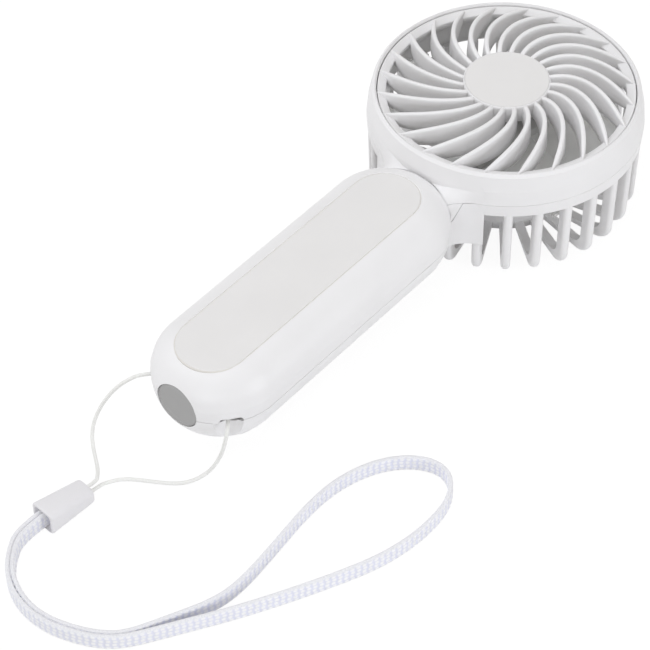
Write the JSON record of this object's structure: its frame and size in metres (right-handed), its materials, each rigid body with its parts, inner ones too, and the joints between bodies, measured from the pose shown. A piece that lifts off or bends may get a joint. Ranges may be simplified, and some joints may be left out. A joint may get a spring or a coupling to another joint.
{
  "type": "hand crank fan",
  "caption": "Slim handheld fan with a slatted round head, a spiral front grille, a clear impeller, a fold-away hand crank generator in the handle and a wrist strap on a cord loop.",
  "frame": {"origin": "on the axis of the fan head, in the plane that the fan lies on (the face of the rear cap)", "axes": "+Z out of the front grille along the fan's axis, -Y along the handle to its tail, +X to the right seen from the front"},
  "size_m": [0.1193, 0.2745, 0.0463],
  "materials": {
    "white_shell": "satin moulded white plastic",
    "white_grille": "satin moulded white plastic",
    "grey_inlay": "fine matt pale grey plastic",
    "grey_button": "matt mid grey plastic",
    "clear_blade": "clear plastic with a slight blue tint",
    "steel": "bright turned steel",
    "steel_zinc": "zinc-plated steel",
    "iron": "sintered ferrite",
    "lamination": "stacked steel sheet",
    "copper": "enamelled copper wire",
    "bronze": "sintered bronze",
    "board": "green circuit board",
    "black_part": "black moulded plastic",
    "wire": "wire insulation",
    "battery": "foil pouch",
    "gear_white": "acetal",
    "strap_cloth": "woven polyester tape and cord",
    "sleeve_white": "moulded white plastic"
  },
  "bodies": {
    "body": {"front_ring": "white_shell", "front_grille": "white_grille", "grille_disc": "grey_inlay", "rear_cage": "white_shell", "rear_cap": "white_shell", "motor_bearings": "bronze", "motor_base": "black_part", "motor_screws": "steel_zinc", "stator_core": "lamination", "stator_coils": "copper", "motor_board": "board", "motor_leads": "wire", "handle_wiring": "wire", "handle_front_shell": "white_shell", "handle_rear_shell": "white_shell", "front_panel": "grey_inlay", "shell_screws": "steel_zinc", "tact_switch": "black_part", "switch_board": "board", "control_board": "board", "battery_cell": "battery", "strap_posts": "steel", "idler_axle_a": "steel", "idler_axle_b": "steel", "gearbox_plate": "steel_zinc", "plate_screws": "steel_zinc", "generator_coils": "copper", "generator_can": "steel_zinc", "generator_cap": "black_part", "crank_bush": "bronze", "strap_string": "strap_cloth", "string_knots": "strap_cloth", "strap_sleeve": "sleeve_white", "wrist_strap": "strap_cloth"},
    "impeller": {"impeller": "clear_blade", "rotor_yoke": "lamination", "rotor_magnet": "iron", "motor_shaft": "steel"},
    "crank": {"crank_arm": "white_shell", "crank_shaft": "steel", "crank_screw": "steel_zinc", "crank_gear": "gear_white", "knob_pin": "steel"},
    "knob": {"knob_stem": "steel_zinc"},
    "knob_grip": {"knob_grip": "grey_inlay"},
    "idler_a": {"idler_gear_a": "gear_white"},
    "idler_b": {"idler_gear_b": "gear_white"},
    "generator_rotor": {"generator_pinion": "bronze", "generator_shaft": "steel", "generator_magnet": "iron"},
    "power_button": {"power_button": "grey_button", "switch_plunger": "black_part"}
  },
  "joints": [
    {"name": "fan_spin", "type": "hinge", "parent": "body", "child": "impeller", "pos_m": [0, 0, 0.025], "axis": [0, 0, 1], "continuous": true},
    {"name": "crank_spin", "type": "hinge", "parent": "body", "child": "crank", "pos_m": [0, -0.1, 0.007], "axis": [0, 0, 1], "continuous": true},
    {"name": "knob_fold", "type": "hinge", "parent": "crank", "child": "knob", "pos_m": [0, -0.1365, 0.0048], "axis": [-1, 0, 0], "range_deg": [0, 90]},
    {"name": "knob_spin", "type": "hinge", "parent": "knob", "child": "knob_grip", "pos_m": [0, -0.1365, 0.0048], "axis": [0, 1, 0], "continuous": true},
    {"name": "idler_a_spin", "type": "hinge", "parent": "body", "child": "idler_a", "pos_m": [0.005, -0.08586, 0.017], "axis": [0, 0, 1], "continuous": true},
    {"name": "idler_b_spin", "type": "hinge", "parent": "body", "child": "idler_b", "pos_m": [-0.004, -0.07648, 0.019], "axis": [0, 0, 1], "continuous": true},
    {"name": "generator_spin", "type": "hinge", "parent": "body", "child": "generator_rotor", "pos_m": [0.004, -0.06753, 0.024], "axis": [0, 0, 1], "continuous": true},
    {"name": "button_press", "type": "slide", "parent": "body", "child": "power_button", "axis": [0, 1, 0], "range_m": [0, 0.0005], "stiffness_N_per_m": 600}
  ],
  "couplings": [
    {"joint": "idler_a_spin", "follows": "crank_spin", "ratio": -4},
    {"joint": "idler_b_spin", "follows": "crank_spin", "ratio": 13.333},
    {"joint": "generator_spin", "follows": "crank_spin", "ratio": -40}
  ]
}
